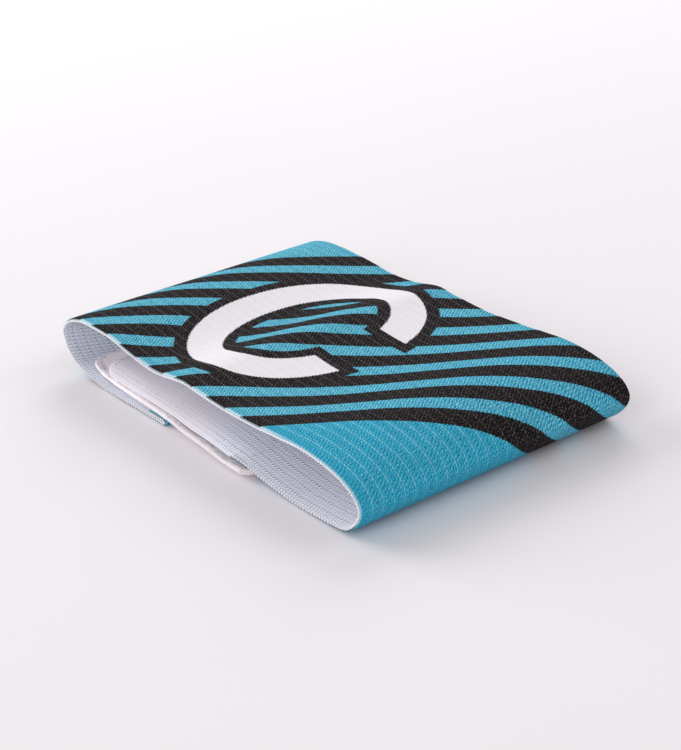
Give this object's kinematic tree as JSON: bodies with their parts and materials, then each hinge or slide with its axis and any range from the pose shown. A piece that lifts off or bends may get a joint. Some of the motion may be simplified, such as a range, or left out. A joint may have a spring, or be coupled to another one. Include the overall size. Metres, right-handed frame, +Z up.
{
  "type": "captain armband",
  "caption": "Wide elastic armband with diagonal stripes and a plain letter C, closed to a flat loop by hook-and-loop tape.",
  "frame": {"origin": "middle of the underside, on the surface that the armband lies on", "axes": "+X along the flattened loop towards the plain fold, +Y across the web towards its far edge, +Z up"},
  "size_m": [0.1332, 0.0842, 0.0183],
  "materials": {
    "printed_elastic": "printed ribbed elastic knit, matte",
    "pile_tape": "soft brushed pile tape, pale pinkish white",
    "hook_tape": "nylon hook tape, off-white"
  },
  "bodies": {
    "root": {"band": "printed_elastic", "loop_patch": "pile_tape", "hook_patch": "hook_tape"}
  },
  "joints": []
}
